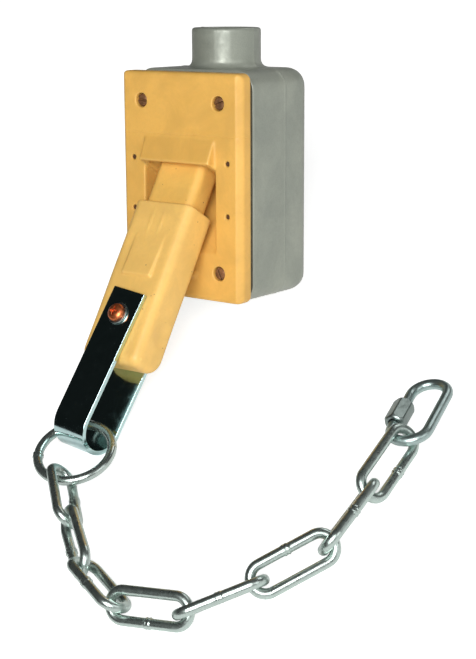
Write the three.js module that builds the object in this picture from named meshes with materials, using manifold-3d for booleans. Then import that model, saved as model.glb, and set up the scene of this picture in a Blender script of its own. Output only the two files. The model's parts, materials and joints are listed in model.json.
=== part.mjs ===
// Pull-chain disconnect: a receptacle on a cast wall box, and a breakaway plug that a chain pulls out of it.
// Millimetres, +Z up. The device leans back on the heel of its box and on the bend of the plug's strap,
// and the ring, the chain and the quick link lie on the same floor in front of it.
import * as THREE from 'three';
import { mergeVertices } from 'three/addons/utils/BufferGeometryUtils.js';
import Module from 'manifold-3d';

const wasm = await Module();
wasm.setup();

// ---- Driving dimensions ----------------------------------------------------------------------

// The gap left between pieces that rest on each other.
const GAP = 0.3;

// Cover: a moulded plate with its front face on the plane y = 0 and its centre at the device's origin.
const COVER_WIDTH = 79;
const COVER_HEIGHT = 115.9;
const COVER_THICKNESS = 9;
const COVER_CORNER = 4;
const COVER_EDGE_ROUND = 2;
const COVER_SIDE_CHAMFER = 3;

// Cover screws: a rectangle of four, with sunk heads.
const SCREW_HALF_WIDTH = 25.2;
const SCREW_HALF_HEIGHT = 43;
const SCREW_HEAD_RADIUS = 3.3;
const SCREW_SHANK_RADIUS = 2.1;
const SCREW_HEAD_DEPTH = 0.8;
const SCREW_HEAD_HEIGHT = 2.6;
const SCREW_REACH = 26;
const SCREW_HOLE_END = 31.2;
const SCREW_SLOT_WIDTH = 1.2;
const SCREW_SLOT_DEPTH = 1.2;

// Gasket and the four pins that hold it to the cover.
const GASKET_THICKNESS = 2.6;
const GASKET_WIDTH = 76;
const GASKET_HEIGHT = 114.4;
const GASKET_WINDOW_WIDTH = 57;
const GASKET_WINDOW_HEIGHT = 98;
const PIN_HALF_WIDTH = 31;
const PIN_HALF_HEIGHT = 13.3;
const PIN_RADIUS = 1.15;
const PIN_DEPTH = 0.7;

// Cast wall box with a threaded conduit hub on top.
const BOX_WIDTH = 76.5;
const BOX_HEIGHT = 118.3;
const BOX_DEPTH = 49.8;
const BOX_WALL = 3.8;
const BOX_CORNER = 10;
const BOX_BACK_ROUND = 7;
const HUB_RADIUS = 18.3;
const HUB_TOP = 79.6;
const HUB_SETBACK = 39.8;
const HUB_FILLET = 3.5;
const HUB_BORE_RADIUS = 13.3;
const HUB_THROAT_RADIUS = 10.4;
const HUB_THREAD_LENGTH = 18;
const PAD_WIDTH = 15.4;
const PAD_HEIGHT = 18;
const PAD_DEPTH = 24;
const WALL_HOLE_RADIUS = 3.2;
const WALL_HOLE_HALF_HEIGHT = 38;
const GROUND_X = 20;
const GROUND_Z = -34;
const GROUND_SHANK_RADIUS = 1.5;
const GROUND_FLATS = 7;
const GROUND_HEAD_HEIGHT = 3;
const GROUND_HOLE_DEPTH = 2.6;

// Plug axis: it crosses the cover's plane below the centre and leans out at this angle from vertical.
const PLUG_LEAN = THREE.MathUtils.degToRad(31.6);
const PLUG_AXIS_Z = -5.4;

// Pocket of the cover, along the plug axis, and the hood over its top.
const POCKET_HALF_WIDTH = 23.3;
const POCKET_FRONT = -12;
const POCKET_REAR = 14.5;
const POCKET_END = 15;
const POCKET_WALL = 2.5;
const BOSS_END = 30;
const HOOD_LIP = 13;
const HOOD_HALF_WIDTH = 22.8;
const HOOD_TOP_Z = 25.2;
const HOOD_INSIDE_ROUND = 6;

// Receptacle nozzle, local to the plug axis: x across, y to the rear, z up into the cover.
const NOZZLE_WIDTH = 29.8;
const NOZZLE_THICKNESS = 15.6;
const NOZZLE_CORNER = 4;
const NOZZLE_TIP = -51;
const NOZZLE_TIP_ROUND = 1.2;
const FLANGE_WIDTH = 42;
const FLANGE_REAR = 12;
const FLANGE_DEPTH = 3;
const BLOCK_DEPTH = 11;
const BLOCK_WIDTH = 30;
const BLOCK_REAR = 6;
const CONTACT_HALF_SPACING = 7;
const CONTACT_Y = -2.5;
const CONTACT_RADIUS = 3;
const CONTACT_BORE_RADIUS = 2.2;
const PLUG_PIN_RADIUS = 1.9;
const TERMINAL_FROM_END = 4;
const TERMINAL_SHANK_RADIUS = 1.4;
const TERMINAL_HEAD_RADIUS = 2.6;
const TERMINAL_HEAD_HEIGHT = 2.1;

// Plug sleeve.
const SLEEVE_WIDTH = 37.4;
const SLEEVE_THICKNESS = 21.6;
const SLEEVE_RIM = -7.8;
const SLEEVE_END = -94.4;
const SLEEVE_EDGE_ROUND = 4.5;
const SLEEVE_SOCKET_END = -53;
const INSERT_WIDTH = 23;
const INSERT_THICKNESS = 9;
const INSERT_DEPTH = 6;
const GRIP_WIDTH = 18.4;
const GRIP_START = -24;
const GRIP_END = -48.5;
const GRIP_RISE = 1.5;

// Strap: a flat bar bent into a U round the plug's end, on one through screw.
const STRAP_WIDTH = 21;
const STRAP_THICKNESS = 2.5;
const STRAP_SCREW_Z = -70.7;
const STRAP_ABOVE_SCREW = 13;
const STRAP_BEND_BELOW_SCREW = 55.2;
const STRAP_SWING = THREE.MathUtils.degToRad(6.5);
const STRAP_INNER_RADIUS = SLEEVE_THICKNESS / 2 + GAP;
const STRAP_OUTER_RADIUS = STRAP_INNER_RADIUS + STRAP_THICKNESS;
const STRAP_TWIST_DROP = 0.8;
const STRAP_SCREW_RADIUS = 2.5;
const WASHER_RADIUS = 5.6;
const WASHER_THICKNESS = 1;
const STRAP_HEAD_RADIUS = 4.6;
const STRAP_HEAD_HEIGHT = 2.8;
const STRAP_NUT_FLATS = 8;
const STRAP_NUT_HEIGHT = 4;

// Ring, in the floor frame: x right, y to the wall, z up, with the origin under the strap's bend.
const RING_RADIUS = 18.8;
const RING_WIRE = 4.8;
const RING_CENTRE = new THREE.Vector3(-5.7, -15.2, 9.1);
const RING_TILT = THREE.MathUtils.degToRad(9.8);

// Chain: each link's heading on the floor, its lean about its own length, and the height of its far hook.
const LINK_WIRE = 4.8;
const LINK_INNER_LENGTH = 35;
const LINK_INNER_WIDTH = 8.4;
const LINK_PITCH = 34;
const CHAIN_START = new THREE.Vector3(-3.8, -29.7, 8.5);
const CHAIN_LINKS = [
  { heading: -44, lean: 64, endHeight: 8.3 },
  { heading: -40, lean: -54, endHeight: 7.7 },
  { heading: -24, lean: 48, endHeight: 7.5 },
  { heading: 11, lean: -47, endHeight: 7.2 },
  { heading: 46, lean: 45, endHeight: 7.6 },
  { heading: 56, lean: -49, endHeight: 7.6 },
  { heading: 87, lean: 49, endHeight: 8.0 },
  { heading: 90, lean: -57, endHeight: 8.0 },
];

// Quick link on the chain's free end.
const QUICK_WIRE = 5;
const QUICK_LENGTH = 49;
const QUICK_WIDTH = 23;
const QUICK_NUT_FLATS = 9.4;
const QUICK_NUT_LENGTH = 15;
const QUICK_GATE_START = -9.5;
const QUICK_GATE_END = -3.5;
const QUICK_NUT_CENTRE = -2.5;
const QUICK_HEADING = 100;
const QUICK_END_HEIGHT = 3.6;
const QUICK_LEAN = 1;
const QUICK_PITCH = 38;

// ---- Materials ---------------------------------------------------------------------------------

function material(color, roughness, metalness) {
  return new THREE.MeshStandardMaterial({ color, roughness, metalness });
}

const yellowPlastic = material(0xe8b95f, 0.5, 0);
const greyCasting = material(0x8b908a, 0.45, 0.5);
const darkRubber = material(0x4a4636, 0.85, 0);
const blackPlastic = material(0x1c1c1e, 0.55, 0);
const bronzeSteel = material(0x5d4a3a, 0.45, 0.8);
const brightSteel = material(0xc9d2cf, 0.15, 1);
const plainSteel = material(0xa9adaf, 0.35, 1);
const brass = material(0xc9a24a, 0.3, 1);
const copper = material(0xc2653a, 0.3, 1);
const greenSteel = material(0x3c7a4a, 0.4, 0.7);

// ---- Solid helpers -----------------------------------------------------------------------------

function solid(geometry) {
  const bare = geometry.clone();
  bare.deleteAttribute('normal');
  bare.deleteAttribute('uv');
  const merged = mergeVertices(bare, 1e-4);
  const vertProperties = new Float32Array(merged.attributes.position.array);
  const triVerts = new Uint32Array(merged.index.array);
  return new wasm.Manifold(new wasm.Mesh({ numProp: 3, vertProperties, triVerts }));
}

function geometryOf(shape) {
  const { vertProperties, triVerts } = shape.getMesh();
  const geometry = new THREE.BufferGeometry();
  geometry.setAttribute('position', new THREE.BufferAttribute(new Float32Array(vertProperties), 3));
  geometry.setIndex(new THREE.BufferAttribute(new Uint32Array(triVerts), 1));
  return geometry;
}

function mesh(name, shape, look) {
  const geometry = shape.isBufferGeometry ? shape : geometryOf(shape);
  const piece = new THREE.Mesh(geometry, look);
  piece.name = name;
  return piece;
}

const joined = (first, ...others) => others.reduce((sum, other) => sum.add(other), first);
const cut = (first, ...tools) => tools.reduce((rest, tool) => rest.subtract(tool), first);

// A box between two corners.
function block(low, high) {
  const size = high.map((value, axis) => value - low[axis]);
  const centre = high.map((value, axis) => (value + low[axis]) / 2);
  return solid(new THREE.BoxGeometry(...size).translate(...centre));
}

// A cylinder along z between two heights.
function rodZ(radius, bottom, top, x, y, sides = 24) {
  const rod = new THREE.CylinderGeometry(radius, radius, top - bottom, sides).rotateX(Math.PI / 2);
  return solid(rod.translate(x, y, (top + bottom) / 2));
}

// A cylinder along y between two depths.
function rodY(radius, front, back, x, z, sides = 24) {
  const rod = new THREE.CylinderGeometry(radius, radius, back - front, sides);
  return solid(rod.translate(x, (back + front) / 2, z));
}

function roundedRectangle(width, height, radius) {
  const x = width / 2;
  const y = height / 2;
  const shape = new THREE.Shape();
  shape.moveTo(x, -y + radius);
  shape.absarc(x - radius, y - radius, radius, 0, Math.PI / 2);
  shape.absarc(-x + radius, y - radius, radius, Math.PI / 2, Math.PI);
  shape.absarc(-x + radius, -y + radius, radius, Math.PI, Math.PI * 1.5);
  shape.absarc(x - radius, -y + radius, radius, Math.PI * 1.5, Math.PI * 2);
  return shape;
}

function polygon(points) {
  return new THREE.Shape(points.map(([x, y]) => new THREE.Vector2(x, y)));
}

// A shape drawn in x and y, pushed along z from bottom to top, with its end edges rounded by round.
function prismZ(shape, bottom, top, { round = 0, roundSteps = 3, curveSegments = 5 } = {}) {
  const options = {
    depth: top - bottom - 2 * round, curveSegments, bevelEnabled: round > 0,
    bevelThickness: round, bevelSize: round, bevelOffset: -round, bevelSegments: roundSteps,
  };
  return new THREE.ExtrudeGeometry(shape, options).translate(0, 0, bottom + round);
}

// A shape drawn in x and z, pushed along y from front to back.
function prismY(shape, front, back, options) {
  return solid(prismZ(shape, -back, -front, options).rotateX(Math.PI / 2));
}

// A shape drawn in y and z, pushed along x, centred on x = 0.
function prismX(shape, width, options) {
  return solid(prismZ(shape, -width / 2, width / 2, options).rotateY(Math.PI / 2).rotateX(Math.PI / 2));
}

// A hexagonal bar along z between two heights, across its flats.
function hexZ(flats, bottom, top, x, y) {
  const bar = new THREE.CylinderGeometry(flats / Math.sqrt(3), flats / Math.sqrt(3), top - bottom, 6);
  return solid(bar.rotateX(Math.PI / 2).translate(x, y, (top + bottom) / 2));
}

// A turned solid about z, from a profile of radius and height pairs.
function turned(profile, segments = 32) {
  const points = profile.map(([radius, height]) => new THREE.Vector2(radius, height));
  return solid(new THREE.LatheGeometry(points, segments).rotateX(Math.PI / 2));
}

const corners = (halfWidth, halfHeight) => [
  [-halfWidth, halfHeight], [halfWidth, halfHeight], [-halfWidth, -halfHeight], [halfWidth, -halfHeight],
];

// ---- Wall box ----------------------------------------------------------------------------------

const GASKET_FRONT = COVER_THICKNESS + GAP;
const BOX_FRONT = GASKET_FRONT + GASKET_THICKNESS + GAP;
const BOX_BACK = BOX_FRONT + BOX_DEPTH;
const BOX_INSIDE_BACK = BOX_BACK - BOX_WALL;

// A round-backed tub, open or solid at the front, that grows from the front plane.
function tub(width, height, corner, back, round) {
  const blank = prismY(roundedRectangle(width, height, corner), BOX_FRONT - 20, back, { round });
  return blank.intersect(block([-width, BOX_FRONT, -height], [width, back + 1, height]));
}

function conduitHub() {
  const base = BOX_HEIGHT / 2 - BOX_WALL - 1;
  const foot = BOX_HEIGHT / 2;
  const flare = [0, 0.3, 0.6, 0.85, 1].map((step) => {
    const angle = step * Math.PI / 2;
    return [HUB_RADIUS + HUB_FILLET * (1 - Math.sin(angle)), foot + HUB_FILLET * (1 - Math.cos(angle))];
  });
  const threadEnd = HUB_TOP - HUB_THREAD_LENGTH;
  const profile = [
    [HUB_THROAT_RADIUS, base], [HUB_RADIUS + HUB_FILLET, base], ...flare,
    [HUB_RADIUS, HUB_TOP - 1], [HUB_RADIUS - 1, HUB_TOP], [HUB_BORE_RADIUS + 1, HUB_TOP],
    [HUB_BORE_RADIUS, HUB_TOP - 1], [HUB_BORE_RADIUS, threadEnd], [HUB_THROAT_RADIUS, threadEnd - 1],
    [HUB_THROAT_RADIUS, base],
  ];
  return turned(profile, 40).translate([0, HUB_SETBACK, 0]);
}

function boxBody() {
  const inside = [BOX_WIDTH - 2 * BOX_WALL, BOX_HEIGHT - 2 * BOX_WALL];
  const shell = cut(
    tub(BOX_WIDTH, BOX_HEIGHT, BOX_CORNER, BOX_BACK, BOX_BACK_ROUND),
    tub(inside[0], inside[1], BOX_CORNER - BOX_WALL, BOX_INSIDE_BACK, BOX_BACK_ROUND - BOX_WALL)
      .add(block([-20, BOX_FRONT - 1, -20], [20, BOX_FRONT + 1, 20])),
    rodZ(HUB_THROAT_RADIUS, BOX_HEIGHT / 2 - 2 * BOX_WALL, BOX_HEIGHT, 0, HUB_SETBACK, 40),
  );
  const padEdgeX = BOX_WIDTH / 2 - 1;
  const padEdgeZ = BOX_HEIGHT / 2 - 1;
  const pads = corners(1, 1).map(([sideX, sideZ]) => block(
    [Math.min(sideX * padEdgeX, sideX * (padEdgeX - PAD_WIDTH - BOX_WALL + 1)), BOX_FRONT,
      Math.min(sideZ * padEdgeZ, sideZ * (padEdgeZ - PAD_HEIGHT - BOX_WALL + 1))],
    [Math.max(sideX * padEdgeX, sideX * (padEdgeX - PAD_WIDTH - BOX_WALL + 1)), BOX_FRONT + PAD_DEPTH,
      Math.max(sideZ * padEdgeZ, sideZ * (padEdgeZ - PAD_HEIGHT - BOX_WALL + 1))],
  ).intersect(tub(BOX_WIDTH - 1, BOX_HEIGHT - 1, BOX_CORNER, BOX_BACK - 1, BOX_BACK_ROUND)));
  const screwHoles = corners(SCREW_HALF_WIDTH, SCREW_HALF_HEIGHT).map(
    ([x, z]) => rodY(SCREW_SHANK_RADIUS + GAP, BOX_FRONT - 1, SCREW_HOLE_END, x, z, 16),
  );
  const wallHoles = [-1, 1].map(
    (side) => rodY(WALL_HOLE_RADIUS, BOX_INSIDE_BACK - 1, BOX_BACK + 1, 0, side * WALL_HOLE_HALF_HEIGHT),
  );
  const groundHole = rodY(GROUND_SHANK_RADIUS + GAP, BOX_INSIDE_BACK - 1, BOX_INSIDE_BACK + GROUND_HOLE_DEPTH,
    GROUND_X, GROUND_Z, 12);
  return cut(joined(shell, conduitHub(), ...pads), ...screwHoles, ...wallHoles, groundHole);
}

// A hexagonal screw with a slot, in the box's back wall.
function groundScrew() {
  const headBack = BOX_INSIDE_BACK - GAP;
  const headFront = headBack - GROUND_HEAD_HEIGHT;
  const corner = GROUND_FLATS / Math.sqrt(3);
  const hexagon = new THREE.CylinderGeometry(corner, corner, GROUND_HEAD_HEIGHT, 6);
  const head = solid(hexagon.translate(GROUND_X, (headFront + headBack) / 2, GROUND_Z));
  const shankEnd = BOX_INSIDE_BACK + GROUND_HOLE_DEPTH - GAP;
  const shank = rodY(GROUND_SHANK_RADIUS, headBack - 1, shankEnd, GROUND_X, GROUND_Z, 12);
  const slot = block([GROUND_X - corner, headFront - 1, GROUND_Z - 0.5],
    [GROUND_X + corner, headFront + 0.8, GROUND_Z + 0.5]);
  return cut(head.add(shank), slot);
}

// ---- Gasket, cover and their fasteners -----------------------------------------------------------

function coverGasket() {
  const back = GASKET_FRONT + GASKET_THICKNESS;
  const window = roundedRectangle(GASKET_WINDOW_WIDTH, GASKET_WINDOW_HEIGHT, 6);
  return cut(
    prismY(roundedRectangle(GASKET_WIDTH, GASKET_HEIGHT, 8), GASKET_FRONT, back),
    prismY(window, GASKET_FRONT - 1, back + 1),
    ...corners(PIN_HALF_WIDTH, PIN_HALF_HEIGHT).map(
      ([x, z]) => rodY(PIN_RADIUS + GAP, GASKET_FRONT - 1, back + 1, x, z, 12),
    ),
  );
}

function gasketPin(x, z) {
  return rodY(PIN_RADIUS, PIN_DEPTH, GASKET_FRONT + GASKET_THICKNESS - GAP, x, z, 12);
}

function coverScrew(x, z) {
  const headEnd = SCREW_HEAD_DEPTH + SCREW_HEAD_HEIGHT;
  const head = rodY(SCREW_HEAD_RADIUS, SCREW_HEAD_DEPTH, headEnd, x, z);
  const shank = rodY(SCREW_SHANK_RADIUS, headEnd - 1, SCREW_REACH, x, z, 16);
  const slot = block(
    [x - 2 * SCREW_HEAD_RADIUS, SCREW_HEAD_DEPTH - 1, z - SCREW_SLOT_WIDTH / 2],
    [x + 2 * SCREW_HEAD_RADIUS, SCREW_HEAD_DEPTH + SCREW_SLOT_DEPTH, z + SCREW_SLOT_WIDTH / 2],
  );
  return cut(head.add(shank), slot);
}

// Turns a solid from the plug axis frame to the device frame.
function alongPlugAxis(shape) {
  return shape.rotate([-THREE.MathUtils.radToDeg(PLUG_LEAN), 0, 0]).translate([0, 0, PLUG_AXIS_Z]);
}

// Where the plane at the given height on the plug axis meets the cover's front face.
function faceHeight(axisZ) {
  const axisY = -axisZ * Math.tan(PLUG_LEAN);
  return PLUG_AXIS_Z + axisZ * Math.cos(PLUG_LEAN) - axisY * Math.sin(PLUG_LEAN);
}

function hood() {
  const lipOuter = POCKET_FRONT - POCKET_WALL;
  const lipY = HOOD_LIP * Math.sin(PLUG_LEAN) + lipOuter * Math.cos(PLUG_LEAN);
  const lipZ = PLUG_AXIS_Z + HOOD_LIP * Math.cos(PLUG_LEAN) - lipOuter * Math.sin(PLUG_LEAN);
  const wedge = polygon([[1, faceHeight(HOOD_LIP)], [1, HOOD_TOP_Z + 0.5], [0, HOOD_TOP_Z], [lipY, lipZ],
    [0, faceHeight(HOOD_LIP)]]);
  return prismX(wedge, 2 * HOOD_HALF_WIDTH);
}

function coverPlate() {
  const halfWidth = COVER_WIDTH / 2;
  const flat = halfWidth - COVER_SIDE_CHAMFER;
  const chamfered = prismZ(polygon([
    [-halfWidth, COVER_THICKNESS], [-halfWidth, COVER_SIDE_CHAMFER], [-flat, 0],
    [flat, 0], [halfWidth, COVER_SIDE_CHAMFER], [halfWidth, COVER_THICKNESS],
  ]), -COVER_HEIGHT / 2, COVER_HEIGHT / 2);
  const rounded = prismY(roundedRectangle(COVER_WIDTH, COVER_HEIGHT, COVER_CORNER), 0, 2 * COVER_THICKNESS,
    { round: COVER_EDGE_ROUND });
  const plate = solid(chamfered).intersect(rounded);

  const pocketShell = alongPlugAxis(block(
    [-POCKET_HALF_WIDTH - POCKET_WALL, POCKET_FRONT - POCKET_WALL, -40],
    [POCKET_HALF_WIDTH + POCKET_WALL, POCKET_REAR + POCKET_WALL, BOSS_END],
  )).intersect(block([-50, COVER_EDGE_ROUND, -70], [50, 60, 70]));
  const hoodInside = HOOD_HALF_WIDTH - POCKET_WALL;
  const pocketDepth = POCKET_REAR - POCKET_FRONT;
  const underHood = prismZ(roundedRectangle(2 * hoodInside, pocketDepth, HOOD_INSIDE_ROUND), -60, POCKET_END)
    .translate(0, (POCKET_FRONT + POCKET_REAR) / 2, 0);
  const pocket = alongPlugAxis(joined(
    block([-POCKET_HALF_WIDTH, POCKET_FRONT, -60], [POCKET_HALF_WIDTH, POCKET_REAR, HOOD_LIP + GAP]),
    solid(underHood),
  ));
  const nozzleHole = alongPlugAxis(solid(prismZ(
    roundedRectangle(NOZZLE_WIDTH + 2 * GAP, NOZZLE_THICKNESS + 2 * GAP, NOZZLE_CORNER + GAP),
    POCKET_END - 1, BOSS_END + 1,
  )));
  const sinks = corners(SCREW_HALF_WIDTH, SCREW_HALF_HEIGHT).map(([x, z]) => joined(
    rodY(SCREW_HEAD_RADIUS + 0.4, -1, SCREW_HEAD_DEPTH + SCREW_HEAD_HEIGHT + GAP, x, z),
    rodY(SCREW_SHANK_RADIUS + GAP, 0, COVER_THICKNESS + 1, x, z, 16),
  ));
  const pinHoles = corners(PIN_HALF_WIDTH, PIN_HALF_HEIGHT).map(
    ([x, z]) => rodY(PIN_RADIUS + GAP, -1, COVER_THICKNESS + 1, x, z, 12),
  );
  return cut(joined(plate, hood(), pocketShell), pocket, nozzleHole, ...sinks, ...pinHoles);
}

// ---- Receptacle, in the plug axis frame ----------------------------------------------------------

const FLANGE_START = BOSS_END + GAP;
const BLOCK_START = FLANGE_START + FLANGE_DEPTH;
const BLOCK_END = BLOCK_START + BLOCK_DEPTH;
const TERMINAL_Z = BLOCK_END - TERMINAL_FROM_END;
const contactSides = [-1, 1];

function receptacleBody() {
  const outline = roundedRectangle(NOZZLE_WIDTH, NOZZLE_THICKNESS, NOZZLE_CORNER);
  const rounding = { round: NOZZLE_TIP_ROUND, roundSteps: 2 };
  const nozzle = solid(prismZ(outline, NOZZLE_TIP, 2 * FLANGE_START, rounding))
    .intersect(block([-40, -40, NOZZLE_TIP - 1], [40, 40, FLANGE_START + 1]));
  const flange = block([-FLANGE_WIDTH / 2, -NOZZLE_THICKNESS / 2, FLANGE_START],
    [FLANGE_WIDTH / 2, FLANGE_REAR, BLOCK_START]);
  const terminalBlock = block([-BLOCK_WIDTH / 2, -NOZZLE_THICKNESS / 2, BLOCK_START - 1],
    [BLOCK_WIDTH / 2, BLOCK_REAR, BLOCK_END]);
  const bores = contactSides.map((side) => rodZ(
    CONTACT_RADIUS + GAP, NOZZLE_TIP - 1, BLOCK_END + 1, side * CONTACT_HALF_SPACING, CONTACT_Y, 20,
  ));
  const blockFront = -NOZZLE_THICKNESS / 2;
  const screwHoles = contactSides.map((side) => rodY(
    TERMINAL_SHANK_RADIUS + GAP, blockFront - 1, CONTACT_Y, side * CONTACT_HALF_SPACING, TERMINAL_Z, 12,
  ));
  return cut(joined(nozzle, flange, terminalBlock), ...bores, ...screwHoles);
}

function socketContact(side) {
  const x = side * CONTACT_HALF_SPACING;
  const end = BLOCK_END + 3;
  return cut(
    rodZ(CONTACT_RADIUS, NOZZLE_TIP + 1.5, end, x, CONTACT_Y, 20),
    rodZ(CONTACT_BORE_RADIUS, NOZZLE_TIP, 0, x, CONTACT_Y, 16),
    rodZ(CONTACT_BORE_RADIUS, BLOCK_START + 2, end + 1, x, CONTACT_Y, 16),
  );
}

function terminalScrew(side) {
  const x = side * CONTACT_HALF_SPACING;
  const headBack = -NOZZLE_THICKNESS / 2 - GAP;
  const headFront = headBack - TERMINAL_HEAD_HEIGHT;
  const head = rodY(TERMINAL_HEAD_RADIUS, headFront, headBack, x, TERMINAL_Z, 16);
  const shankEnd = CONTACT_Y - CONTACT_RADIUS - GAP;
  const shank = rodY(TERMINAL_SHANK_RADIUS, headBack - 1, shankEnd, x, TERMINAL_Z, 12);
  const slot = block([x - 3, headFront - 1, TERMINAL_Z - 0.4], [x + 3, headFront + 0.8, TERMINAL_Z + 0.4]);
  return cut(head.add(shank), slot);
}

// ---- Plug, in the plug axis frame ----------------------------------------------------------------

function sleeveOutline() {
  const half = SLEEVE_THICKNESS / 2;
  const frontRound = 5;
  const rearRound = 9;
  const shape = new THREE.Shape();
  shape.moveTo(half, SLEEVE_RIM + 10);
  shape.lineTo(-half, SLEEVE_RIM + 10);
  shape.lineTo(-half, SLEEVE_END + frontRound);
  shape.absarc(-half + frontRound, SLEEVE_END + frontRound, frontRound, Math.PI, Math.PI * 1.5);
  shape.lineTo(half - rearRound, SLEEVE_END);
  shape.absarc(half - rearRound, SLEEVE_END + rearRound, rearRound, Math.PI * 1.5, Math.PI * 2);
  shape.lineTo(half, SLEEVE_RIM + 10);
  return shape;
}

function plugSleeve() {
  const options = { round: SLEEVE_EDGE_ROUND, roundSteps: 4, curveSegments: 6 };
  const blank = prismX(sleeveOutline(), SLEEVE_WIDTH, options);
  const body = blank.intersect(block([-30, -30, SLEEVE_END - 1], [30, 30, SLEEVE_RIM]));
  const half = SLEEVE_THICKNESS / 2;
  const grip = prismX(polygon([
    [-half + 1, GRIP_START], [-half, GRIP_START],
    [-half - GRIP_RISE, GRIP_END + 1], [-half - GRIP_RISE, GRIP_END],
    [-half + 1, GRIP_END - 0.4],
  ]), GRIP_WIDTH);
  const socket = solid(prismZ(
    roundedRectangle(NOZZLE_WIDTH + 2 * GAP, NOZZLE_THICKNESS + 2 * GAP, NOZZLE_CORNER + GAP),
    SLEEVE_SOCKET_END, SLEEVE_RIM + 1,
  ));
  const insertSeat = block(
    [-INSERT_WIDTH / 2 - GAP, CONTACT_Y - INSERT_THICKNESS / 2 - GAP, SLEEVE_SOCKET_END - INSERT_DEPTH - 4],
    [INSERT_WIDTH / 2 + GAP, CONTACT_Y + INSERT_THICKNESS / 2 + GAP, SLEEVE_SOCKET_END + 1],
  );
  const screwHole = rodY(STRAP_SCREW_RADIUS + GAP, -20, 20, 0, STRAP_SCREW_Z);
  return cut(body.add(grip), socket, insertSeat, screwHole);
}

function plugInsert() {
  const top = SLEEVE_SOCKET_END - GAP;
  const outline = roundedRectangle(INSERT_WIDTH, INSERT_THICKNESS, 2);
  const body = solid(prismZ(outline, top - INSERT_DEPTH, top)).translate([0, CONTACT_Y, 0]);
  const holes = contactSides.map((side) => rodZ(
    PLUG_PIN_RADIUS + GAP, top - INSERT_DEPTH - 1, top + 1, side * CONTACT_HALF_SPACING, CONTACT_Y, 16,
  ));
  return cut(body, ...holes);
}

const BAR_TOP = SLEEVE_SOCKET_END - INSERT_DEPTH - 2 * GAP;
const BAR_THICKNESS = 1.5;

function plugPin(side) {
  const x = side * CONTACT_HALF_SPACING;
  const profile = [[0, BAR_TOP - BAR_THICKNESS - 0.5], [PLUG_PIN_RADIUS, BAR_TOP - BAR_THICKNESS - 0.5],
    [PLUG_PIN_RADIUS, -19.5], [PLUG_PIN_RADIUS * 0.7, -18.3], [0, -17.8]];
  return turned(profile, 16).translate([x, CONTACT_Y, 0]);
}

function shortingBar() {
  const outline = roundedRectangle(2 * CONTACT_HALF_SPACING + 7, 6, 2.5);
  const bar = solid(prismZ(outline, BAR_TOP - BAR_THICKNESS, BAR_TOP)).translate([0, CONTACT_Y, 0]);
  const holes = contactSides.map((side) => rodZ(
    PLUG_PIN_RADIUS + GAP, BAR_TOP - 5, BAR_TOP + 5, side * CONTACT_HALF_SPACING, CONTACT_Y, 16,
  ));
  return cut(bar, ...holes);
}

// ---- Strap and its screw, with the screw's axis on y through the origin ---------------------------

function pullStrap() {
  const shape = new THREE.Shape();
  const low = -STRAP_BEND_BELOW_SCREW;
  shape.moveTo(-STRAP_OUTER_RADIUS, STRAP_ABOVE_SCREW);
  shape.lineTo(-STRAP_OUTER_RADIUS, low);
  shape.absarc(0, low, STRAP_OUTER_RADIUS, Math.PI, Math.PI * 2);
  shape.lineTo(STRAP_OUTER_RADIUS, STRAP_ABOVE_SCREW);
  shape.lineTo(STRAP_INNER_RADIUS, STRAP_ABOVE_SCREW);
  shape.lineTo(STRAP_INNER_RADIUS, low);
  shape.absarc(0, low, STRAP_INNER_RADIUS, 0, -Math.PI, true);
  shape.lineTo(-STRAP_INNER_RADIUS, STRAP_ABOVE_SCREW);
  const bar = prismX(shape, STRAP_WIDTH, { round: 0.35, roundSteps: 1, curveSegments: 14 });
  return cut(bar, rodY(STRAP_SCREW_RADIUS + GAP, -20, 20, 0, 0));
}

const WASHER_FRONT = -STRAP_OUTER_RADIUS - GAP - WASHER_THICKNESS;
const HEAD_BASE = WASHER_FRONT - GAP;
const NUT_START = -HEAD_BASE;

function strapWasher(front) {
  return cut(
    rodY(WASHER_RADIUS, front, front + WASHER_THICKNESS, 0, 0, 28),
    rodY(STRAP_SCREW_RADIUS + GAP, front - 1, front + WASHER_THICKNESS + 1, 0, 0, 20),
  );
}

function strapScrew() {
  const dome = [[0, 0], [STRAP_HEAD_RADIUS, 0], [STRAP_HEAD_RADIUS, 1], [STRAP_HEAD_RADIUS - 0.5, 1.9],
    [STRAP_HEAD_RADIUS - 1.6, 2.5], [0, STRAP_HEAD_HEIGHT]];
  const head = turned(dome, 28).rotate([90, 0, 0]).translate([0, HEAD_BASE, 0]);
  const shank = rodY(STRAP_SCREW_RADIUS, HEAD_BASE - 1, NUT_START + STRAP_NUT_HEIGHT + 1.2, 0, 0, 20);
  const face = HEAD_BASE - STRAP_HEAD_HEIGHT;
  const cross = joined(
    block([-2.6, face - 1, -0.5], [2.6, face + 1.5, 0.5]),
    block([-0.5, face - 1, -2.6], [0.5, face + 1.5, 2.6]),
  );
  return cut(head.add(shank), cross);
}

function strapNut() {
  const bar = hexZ(STRAP_NUT_FLATS, 0, STRAP_NUT_HEIGHT, 0, 0)
    .rotate([-90, 0, 0]).translate([0, NUT_START, 0]);
  return cut(bar, rodY(STRAP_SCREW_RADIUS + GAP, NUT_START - 1, NUT_START + STRAP_NUT_HEIGHT + 1, 0, 0, 20));
}

// ---- Ring, chain and quick link ------------------------------------------------------------------

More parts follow.
